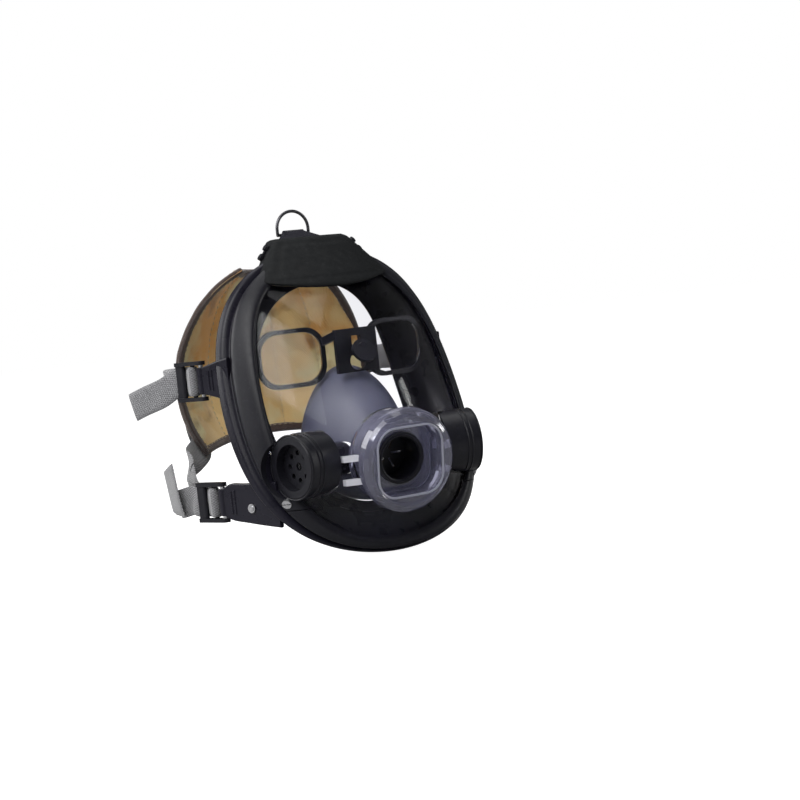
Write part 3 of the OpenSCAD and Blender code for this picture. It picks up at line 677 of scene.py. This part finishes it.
# ---------------------------------------------------------------- chin cup
def chin_web():
    """A web from the seal's lip to the nose cup's lower edge, thicker along both edges."""
    cols, rows, thick = 90, 12, 2.0
    at_lip, at_nose = 66, 56  # degrees that it spans each side of the chin
    table = np.array(NOSE_RINGS)

    def mid(u, v):
        a = rim_point(math.radians(180 + at_lip * u), [LIP_W - 1, LIP_H - 1, 22, 16.5])
        t, y = math.radians(180 + at_nose * u), -8 + 14 * u * u
        w, h, c = (float(np.interp(y, table[:, 0], table[:, k])) for k in (1, 2, 3))
        b = np.array([(w + 0.5) * math.sin(t) * (1 - 0.22 * math.cos(t)), y, c + (h + 0.5) * math.cos(t)])
        return a + (b - a) * v + np.array([0, -2 * v * (1 - v), 0])

    rings = []
    for i in range(cols + 1):
        u = 2 * i / cols - 1
        front, rear = [], []
        for j in range(rows + 1):
            v = j / rows
            fold = 0.5 * math.exp(-((v - 0.5) / 0.12) ** 2)
            half = thick / 2 * (0.75 + 0.25 * abs(2 * v - 1) ** 4)
            front.append(mid(u, v) - np.array([0, half + fold, 0]))
            rear.append(mid(u, v) + np.array([0, half, 0]))
        rings.append(front + rear[::-1])
    verts, faces = loft(rings)
    make("chin_web", verts, outward(verts, faces), RUBBER, "facepiece", "seal_rubber", ["chin_cup"],
         sharp=60)


chin_web()

# ---------------------------------------------------------------- raised edges of the port collar
def bead(name, m, outline, radius, mat, slot):
    """A thin rounded rim along a closed outline of local points."""
    n, steps = len(outline), 8
    rings = []
    for k in range(n):
        p, a, b = (Vector(outline[i % n]) for i in (k, k - 1, k + 1))
        along = (b - a).normalized()
        side = along.cross(Vector((0, 0, 1))).normalized()
        up = side.cross(along)
        rings.append([tuple(m @ (p + side * radius * math.cos(2 * math.pi * q / steps)
                                 + up * radius * math.sin(2 * math.pi * q / steps)))
                      for q in range(steps)])
    verts = [p for r in rings for p in r]
    faces = grid_faces(n, steps, close_rows=True)
    return make(name, verts, outward(verts, faces), mat, "facepiece", slot)


def round_square(w, h, r, z, steps=16):
    points = []
    for cx, cy, start in ((1, 1, 0), (-1, 1, 90), (-1, -1, 180), (1, -1, 270)):
        for k in range(steps + 1):
            a = math.radians(start + 90 * k / steps)
            points.append((cx * (w / 2 - r) + r * math.cos(a), cy * (h / 2 - r) + r * math.sin(a), z))
    return points


bead("collar_recess_edge", AT_PORT, round_square(48, 45, 13, 14.6), 0.75, EDGE_PAINTED_HIGHLIGHT, "clear_polycarbonate")
bead("collar_floor_edge", AT_PORT, round_square(47, 44, 12.5, -1.0), 0.6, EDGE_PAINTED_HIGHLIGHT, "clear_polycarbonate")
bead("port_tube_edge", AT_PORT, circle(15, 2.6), 0.7, PLASTIC, "black_plastic")
for tag, s in SIDES:
    for k, (z, inset) in enumerate(((-0.6, 0.3), (-7, 0), (-10, 0))):
        bead("voice_ring_%d_%s" % (k, tag), mirrored(AT_VOICE, s), circle(VOICE_R - inset, z), 0.6,
             PLASTIC, "black_plastic")

# ---------------------------------------------------------------- strap lugs
TEMPLE, JAW, YAW = (90, 45.8, 21), (89.6, 34.8, -60), -20.6  # the left pivots, and their turn about Z
BARREL_W, BARREL_R = 18, 3.2


def at_pivot(p):
    return place(p, ("Z", 90 + YAW))


def upright_rings(m, x0, y0, section, levels, steps):
    """Rings round a local upright axis: section(angle) gives x and y, scaled by each level's size."""
    return [[tuple(m @ Vector((x0 + size * section(2 * math.pi * i / steps)[0],
                               y0 + size * section(2 * math.pi * i / steps)[1], z)))
             for i in range(steps)] for z, size in levels]


def lug(name, node, s, pivot, profile, ribs):
    """A rubber strap lug with beaded edges, its barrel and its ribs.

    The profile lists (x', half width, shift down, half thickness), and ribs list (x', half width).
    """
    m = at_pivot(pivot)
    rings = []
    for x, half, drop, thick in curve_through(profile, 6):
        ring = []
        for k in range(40):
            a = 2 * math.pi * k / 40
            c, t = math.cos(a), math.sin(a)
            z = half * math.copysign(abs(c) ** 0.35, c)
            swell = 1 + 0.45 * max(0, (abs(z) / half - 0.80) / 0.20)
            y = thick * math.copysign(abs(t) ** 0.55, t) * swell
            ring.append(tuple(m @ Vector((x, y, z - drop))))
        rings.append(ring)
    verts, faces = loft(rings)
    end, round_off = BARREL_W / 2, 0.6
    barrel = upright_rings(m, 0, 0, lambda a: (math.cos(a), math.sin(a)),
                           ((-end, 0.5), (-end, BARREL_R - round_off), (-end + round_off, BARREL_R),
                            (end - round_off, BARREL_R), (end, BARREL_R - round_off), (end, 0.5)), 40)
    parts = [(verts, flip(faces)), loft(barrel)]
    for x, half in ribs:
        rib = upright_rings(m, x, -1.7, lambda a: (0.7 * math.cos(a), -0.75 * max(0, math.sin(a))),
                            ((-half, 1), (-half + 0.5, 1), (half - 0.5, 1), (half, 1)), 10)
        parts.append(loft(rib))
    verts, faces = swap_side(*joined(parts), s)
    piece = make(name, verts, faces, RUBBER, "facepiece", "seal_rubber", [node])
    carve(piece, [MASK_PLUG])


TEMPLE_PROFILE = [(-26, 14, 0, 1.8), (-17, 12.6, 0, 1.8), (-10, 11, 0, 1.8), (-5, 9.8, 0, 1.9),
                  (-1.5, 9, 0, 2.2)]
JAW_PROFILE = [(-50, 15, 2, 1.8), (-34, 14, 1.4, 1.8), (-20, 13, 0.7, 1.8), (-10, 12.5, 0, 1.8),
               (-5, 11, 0, 1.9), (-1.5, 9, 0, 2.2)]
for tag, s in SIDES:
    lug("temple_strap_lug_" + tag, "temple_lug_" + tag, s, TEMPLE, TEMPLE_PROFILE, [(-11, 7), (-8, 6.4)])
    lug("jaw_strap_lug_" + tag, "jaw_lug_" + tag, s, JAW, JAW_PROFILE, [(-12, 8), (-9, 7.4)])

# ---------------------------------------------------------------- head harness
HARNESS_W, HARNESS_T = 78, 2.6  # half width and thickness
H_LOW, H_HIGH, H_MID, H_HALF = -33, 93, 12, 86  # heights of its edges, and of its outline's middle


def cap_base(u, v, t=0.0):
    """The flat cap, t millimetres in from its outside: u across from -1 to 1 and v up from 0 to 1."""
    z0 = H_LOW + (H_HIGH - H_LOW) * v
    z = z0 + 7 * (1 - u * u) * (1 - v) ** 4
    half = HARNESS_W * math.sqrt(1 - ((z0 - H_MID) / H_HALF) ** 2)
    return Vector((half * u * (1 - 0.01 * t), 150 - t - 30 * u * u - 18 * ((z - 22) / 72) ** 2, z))


def cap_normal(u, v):
    e = 0.004
    du = cap_base(u + e, v) - cap_base(u - e, v)
    dv = cap_base(u, min(v + e, 1)) - cap_base(u, max(v - e, 0))
    return dv.cross(du).normalized()


SEAMS = (-0.6, -0.2, 0.2, 0.6)


def cap_puff(u, v):
    """How far the quilted cloth stands off its flat shape: high between seams and edges, none at them."""
    lines = (-1.0,) + SEAMS + (1.0,)
    k = max(i for i in range(len(lines) - 1) if u >= lines[i] - 1e-9) if u < 1 else len(lines) - 2
    a = (u - lines[k]) / (lines[k + 1] - lines[k])
    across = 1 - abs(2 * a - 1) ** 2.6
    along = 1 - abs(2 * v - 1) ** 8
    row = 0.55 + 0.45 * (1 - abs(2 * ((v * 4) % 1) - 1) ** 3)
    return max(0, across) * max(0, along) * row


def cap_folds(p):
    slant = p.x * 0.8 + p.z * 0.6
    ridge = 1 - 2 * abs(noise.noise(Vector((slant / 17, (p.z - p.x * 0.4) / 60, 5))))
    return (noise.noise(Vector((p.x / 23, p.y / 40, p.z / 23))) * 0.9
            + noise.noise(Vector((p.x / 9 + 7, p.z / 14, 3))) * 0.4 + (ridge - 0.5) * 0.9)


def cap_face(u, v, outside, lift=0.0):
    n = cap_normal(u, v)
    base = cap_base(u, v, 0.0 if outside else HARNESS_T)
    edge = min(1, 8 * (1 - abs(u)), 8 * v, 8 * (1 - v))
    folds = cap_folds(base) * (0.25 + 0.75 * max(0, edge)) * 1.8
    puff = 1.9 * cap_puff(u, v)
    away = puff + folds + lift if outside else -puff + folds - lift
    return base + n * away


def harness_cap():
    cols, rows = 120, 96
    points, uv = [], []
    for outside in (True, False):
        for j in range(rows + 1):
            for i in range(cols + 1):
                u, v = 2 * i / cols - 1, j / rows
                points.append(tuple(cap_face(u, v, outside)))
                uv.append((u * HARNESS_W * 1.25, v * 140))

    def at(i, j, k):
        return (k * (rows + 1) + j) * (cols + 1) + i

    faces = []
    for j in range(rows):
        for i in range(cols):
            faces.append((at(i, j, 0), at(i, j + 1, 0), at(i + 1, j + 1, 0), at(i + 1, j, 0)))
            faces.append((at(i, j, 1), at(i + 1, j, 1), at(i + 1, j + 1, 1), at(i, j + 1, 1)))
    edge = [(i, 0) for i in range(cols)] + [(cols, j) for j in range(rows)]
    edge += [(i, rows) for i in range(cols, 0, -1)] + [(0, j) for j in range(rows, 0, -1)]
    for k, (a, b) in enumerate(edge):
        c, d = edge[(k + 1) % len(edge)]
        faces.append((at(a, b, 0), at(c, d, 0), at(c, d, 1), at(a, b, 1)))
    piece = make("harness_cap", points, faces, ARAMID, "harness", "harness_fabric", ["head_harness"],
                 sharp=80, uv=uv)


def cap_border(n=60):
    """Points (u, v) round the cap's edge, n a side, each with its way inward along (u, v)."""
    border = [((-1 + 2 * k / n, 0.0), (0, 1)) for k in range(n)]
    border += [((1.0, k / n), (-1, 0)) for k in range(n)]
    border += [((1 - 2 * k / n, 1.0), (0, -1)) for k in range(n)]
    border += [((-1.0, 1 - k / n), (1, 0)) for k in range(n)]
    for k in range(0, 4 * n, n):  # a corner looks along both of its sides
        before = border[k - 1][1]
        border[k] = (border[k][0], (before[0] + border[k][1][0], before[1] + border[k][1][1]))
    return border


def harness_trim():
    """The bound edge, and the stitches along it and down each seam."""
    around = 14
    rings, uv, travel, last = [], [], 0.0, None
    lines = {True: [], False: []}
    for (u, v), inward in cap_border():
        step = cap_base(clamp(u + inward[0] * 0.02, -1), clamp(v + inward[1] * 0.02)) - cap_base(u, v)
        step.normalize()
        normal = cap_normal(u, v)
        middle = (cap_face(u, v, True) + cap_face(u, v, False)) / 2
        travel += (middle - last).length if last else 0
        last = middle
        ring = []
        for q in range(around):
            a = 2 * math.pi * q / around
            c, t = math.cos(a), math.sin(a)
            ring.append(middle + step * (2.2 - 3.1 * math.copysign(abs(c) ** 0.6, c))
                        + normal * 2.35 * math.copysign(abs(t) ** 0.6, t))
            uv.append((a * 3, travel))
        rings.append(ring)
        for outside, sign in ((True, 1), (False, -1)):
            lines[outside].append((middle + step * 3.9 + normal * sign * 2.25, normal * sign))
    verts = [tuple(p) for r in rings for p in r]
    faces = grid_faces(len(rings), around, close_rows=True)
    make("harness_binding", verts, flip(faces), BINDING, "harness", "harness_fabric", uv=uv, sharp=70)

    threads = []
    for line in lines.values():
        whole = line + line[:1]
        threads.append(stitches([tuple(p) for p, _ in whole], [tuple(q) for _, q in whole]))
    for u in SEAMS:
        for outside, sign in ((True, 1), (False, -1)):
            heights = [0.05 + 0.9 * k / 60 for k in range(61)]
            threads.append(stitches([tuple(cap_face(u, v, outside, 0.15)) for v in heights],
                                    [tuple(cap_normal(u, v) * sign) for v in heights]))
    make("harness_stitching", *joined(threads), THREAD, "harness", "harness_fabric")


harness_cap()
harness_trim()

# ---------------------------------------------------------------- straps
STRAP_W, STRAP_T = 19, 1.8
BAR = (8.5, 0.6)  # the buckle's bar, from the pivot
WRAP = 2.55  # radius of the webbing round the bar


def strap_paths(m, middle, cap_track):
    """A left strap's tail and its run as lists of (point, normal).

    The third value is how many of the run's points come before the cap.
    """
    turn = m.to_3x3()

    def local(x, y):
        return tuple(m @ Vector((x, y, 0)))

    def facing(x, y):
        return tuple(turn @ Vector((x, y, 0)))

    def wrapped(degrees):
        path = []
        for d in degrees:
            x, y = math.cos(math.radians(d)), math.sin(math.radians(d))
            path.append((local(BAR[0] + WRAP * x, BAR[1] + WRAP * y), facing(x, y)))
        return path

    tail = wrapped((184, 210, 240, 270, 292))
    tail += [(local(*q), facing(-0.35, -0.93)) for q in ((13, 0.3), (15.8, 2.0))]
    tail += [(local(*q), facing(0, -1)) for q in ((18.5, 2.75), (22.5, 2.7), (26, 1.6))]
    run = wrapped((176, 150, 120, 95))
    run += [(local(*q), facing(0, 1)) for q in ((13, 4.0), (17.5, 4.75), (23, 4.8))]
    run += middle
    lead = len(run)
    for u, v in cap_track:
        run.append((tuple(cap_face(u, v, True, STRAP_T / 2 + 0.35)), tuple(-cap_normal(u, v))))
    return tail, run, lead


def strip_piece(name, node, track, s):
    """A length of webbing."""
    verts, faces, uv = sweep([p for p, _ in track], [n for _, n in track], STRAP_W, STRAP_T)
    verts, faces = swap_side([tuple(p) for p in verts], faces, s)
    return make(name, verts, outward(verts, faces), WEBBING, slot="webbing",
                replaces=[node] if node else (), sharp=60, uv=uv)


def box_stitch(name, s, sewn):
    """A crossed box of stitches on the webbing's sewn end; sewn lists (point, outward normal)."""
    base = [p for p, _ in sewn]
    out = sewn[-1][1]
    start, end = base[0].lerp(base[1], 0.4), base[-1].lerp(base[-2], 0.12)
    across = (end - start).normalized().cross(out) * (STRAP_W / 2 - 2.2)
    corner = [start + across, end + across, end - across, start - across]
    threads = []
    for a, b in ((0, 1), (1, 2), (2, 3), (3, 0), (0, 2), (1, 3)):
        line = []
        for k in range(9):
            q = corner[a].lerp(corner[b], k / 8)
            share = clamp((q - start).dot(end - start) / (end - start).length_squared)
            place_on = share * (len(base) - 1)
            before = int(place_on)
            after = min(before + 1, len(base) - 1)
            on = base[before].lerp(base[after], place_on - before)
            line.append(tuple(q + (on - start.lerp(end, share)) + out * (STRAP_T / 2)))
        threads.append(stitches(line, [tuple(out)] * 9, length=1.8, gap=0.9, radius=0.28))
    verts, faces = joined(threads)
    verts, faces = swap_side([tuple(v) for v in verts], faces, s)
    make(name, verts, faces, THREAD, "harness", "webbing")


def flipped_x(p, s):
    """A left point as metres on side s."""
    return (p[0] * s * MM, p[1] * MM, p[2] * MM)


# For each strap on the left: the buckle's pivot, the tip of the CAD tail, the visible tail's last
# points from that tip as (way along the strap, offset), the run from buckle to cap as
# (point, normal), and the cap's (u, v) along its sewn end
STRAPS = {
    "temple": dict(
        pivot=TEMPLE, tip=(111, 83.2, 12),
        end=[(0, (-4.5, -6, 3)), (8, (0.5, 0, -1.5)), (19, (1.5, 0, -5))],
        middle=[((95, 84, 20.8), (-0.9, 0.43, 0)), ((92.5, 98, 20.3), (-0.8, 0.6, 0)),
                ((87, 110, 19.8), (-0.72, 0.69, 0))],
        cap=[(0.985, 0.40), (0.93, 0.40), (0.86, 0.40), (0.78, 0.40)]),
    "jaw": dict(
        pivot=JAW, tip=(101.5, 78, -52),
        end=[(0, (-3.2, -12, -7)), (0, (-0.2, -2, -9)), (0, (0.6, 2, -9.5))],
        middle=[((92.6, 67, -57), (-0.97, 0.1, 0.1)), ((91.4, 76, -51.5), (-0.97, 0.05, 0.15)),
                ((89.5, 85, -43), (-0.95, 0.2, 0.2)), ((85, 94, -36.5), (-0.88, 0.35, 0.3))],
        cap=[(0.95, 0.035), (0.90, 0.09), (0.85, 0.15), (0.79, 0.22)]),
}
JAW_TAB = [((102.4, 79.5, -69), (0.998, 0.02, 0.06)), ((104.2, 79.5, -66), (0.998, 0.04, 0)),
           ((105.4, 80.5, -56), (0.998, 0.06, 0)), ((105.8, 82.5, -45), (0.998, 0.06, 0)),
           ((105.6, 85.5, -36.5), (0.998, 0.06, 0.02))]


def strap(kind, tag, s, pivot, tip, end, middle, cap):
    """One strap's tail, front run, box stitch and back run."""
    m = at_pivot(pivot)
    turn = m.to_3x3()
    along, out = turn @ Vector((1, 0, 0)), tuple(turn @ Vector((0, -1, 0)))
    tail, run, lead = strap_paths(m, middle, cap)
    tail += [(tuple(Vector(tip) + along * share + Vector(offset)), out) for share, offset in end]
    tail_node, buckle = "%s_tail_%s" % (kind, tag), "%s_buckle_%s" % (kind, tag)
    start, cut = flipped_x(m @ Vector((24, 0, 0)), s), lead - 2
    if kind == "jaw":
        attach(strip_piece("jaw_tail_end_" + tag, None, JAW_TAB, s), tail_node)
    piece = strip_piece(kind + "_strap_tail_" + tag, tail_node, tail, s)
    flipped_x(tip, s)
    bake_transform(piece)
    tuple(start)
    piece = strip_piece(kind + "_strap_front_" + tag, "%s_strap_%s" % (kind, tag), run[:cut + 1], s)
    flipped_x(run[cut][0], s)
    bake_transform(piece)
    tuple(start)
    box_stitch(kind + "_box_stitch_" + tag, s, [(Vector(p), -Vector(n)) for p, n in run[lead:]])
    piece = strip_piece(kind + "_strap_back_" + tag, None, run[cut:], s)
    flipped_x(run[cut][0], s)
    flipped_x(run[lead][0], s)
    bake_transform(piece)


for tag, s in SIDES:
    for kind, spec in STRAPS.items():
        strap(kind, tag, s, **spec)

# -------------------------------- finishes of the CAD nodes that show as they are
KEEP = {
    PLASTIC: ["port_tube", "port_screen", "spectacle_frame", "spectacle_bracket"]
    + [n + s for n in ("voice_housing_", "voice_grille_", "valve_seat_", "temple_buckle_", "jaw_buckle_",
                       "brow_stud_") for s in "rl"],
    RUBBER: ["ring_keeper", "port_gasket", "voice_duct_r", "voice_duct_l"],
    COLLAR: ["port_collar", "port_plate"],
    FROSTED_PAINTED_HIGHLIGHT: ["collar_fins_r", "collar_fins_l"],
    EYEGLASS: ["spectacle_lens_r", "spectacle_lens_l"],
    SILICONE: ["valve_flap_r", "valve_flap_l"],
    STEEL: ["hang_ring"],
    SCREW_STEEL: ["voice_diaphragm_r", "voice_diaphragm_l"]
    + [n + s for n in ("bezel_screw_", "jaw_rivet_", "temple_pin_", "jaw_pin_") for s in "rl"],
}
for mat, names in KEEP.items():
    for n in names:
        if n in NODES:
            slots = NODES[n].data.materials
            for i in range(len(slots)):
                slots[i] = mat
            if not len(slots):
                slots.append(mat)

# ---------------------------------------------------------------- floor and lights
def seen_by_camera(tree, limit):
    """1 for rays that reach the eye straight or only through clear plastic, else 0."""
    path = tree.nodes.new("ShaderNodeLightPath")
    bounced = tree.nodes.new("ShaderNodeMath")
    bounced.operation = "SUBTRACT"
    tree.links.new(path.outputs["Ray Depth"], bounced.inputs[0])
    tree.links.new(path.outputs["Transmission Depth"], bounced.inputs[1])
    seen = tree.nodes.new("ShaderNodeMath")
    seen.operation = "LESS_THAN"
    tree.links.new(bounced.outputs[0], seen.inputs[0])
    seen.inputs[1].default_value = limit
    return seen.outputs[0]


FLOOR_HALF = 9000
under = CAD_BOX[0].z / MM - 1
corners = [(x * FLOOR_HALF, y * FLOOR_HALF, under) for x, y in ((-1, -1), (1, -1), (1, 1), (-1, 1))]
floor = make("floor", corners, [(0, 1, 2, 3)])
paint = Finish("floor_paint")
paint.set("Base Color", paint.mix(paint.noise(3), (0.42, 0.42, 0.42), (0.46, 0.46, 0.46)))
paint.shader.inputs["Roughness"].default_value = 0.9
paint.shader.inputs["Specular IOR Level"].default_value = 0.1
paint.shader.inputs["Emission Color"].default_value = (1, 1, 1, 1)
paint.set("Emission Strength", paint.range(seen_by_camera(paint.tree, 0.5), 0, 1, 0.0, 0.95))
floor.data.materials.append(paint.mat)


def area_light(name, where, size, power, aim=(0, 0.03, 0)):
    """A soft box of width and height size, in metres, turned towards aim."""
    data = bpy.data.lights.new(name, "AREA")
    data.shape, data.size, data.size_y, data.energy = "RECTANGLE", size[0], size[1], power
    light = bpy.data.objects.new(name, data)
    bpy.context.scene.collection.objects.link(light)
    light.location = where
    light.rotation_euler = (Vector(where) - Vector(aim)).to_track_quat("Z", "Y").to_euler()


area_light("key", (-1.3, -1.2, 1.9), (1.6, 1.6), 26)
area_light("top", (0.2, 0.3, 2.2), (2.0, 2.0), 26)
area_light("left_strip", (-1.5, 0.1, 0.5), (0.07, 1.5), 2.6)
area_light("left_fill", (-0.9, -0.35, 1.0), (0.8, 0.8), 9, (-0.08, 0.12, 0.02))
area_light("right_strip", (1.5, -0.9, 0.3), (0.14, 1.3), 8)
area_light("behind", (-1.4, 1.0, 0.9), (1.2, 1.2), 24)

world = bpy.data.worlds.new("studio")
bpy.context.scene.world = world
world.use_nodes = True
tree = world.node_tree
tree.nodes.clear()
out = tree.nodes.new("ShaderNodeOutputWorld")
sky = tree.nodes.new("ShaderNodeBackground")
sky.inputs[0].default_value = (1, 1, 1, 1)
strength = tree.nodes.new("ShaderNodeMapRange")
strength.inputs["To Min"].default_value = 0.12
strength.inputs["To Max"].default_value = 1.0
tree.links.new(seen_by_camera(tree, 1.5), strength.inputs[0])  # the sky counts one bounce more
tree.links.new(strength.outputs[0], sky.inputs[1])
tree.links.new(sky.outputs[0], out.inputs[0])
bpy.context.scene.view_settings.view_transform = "Standard"
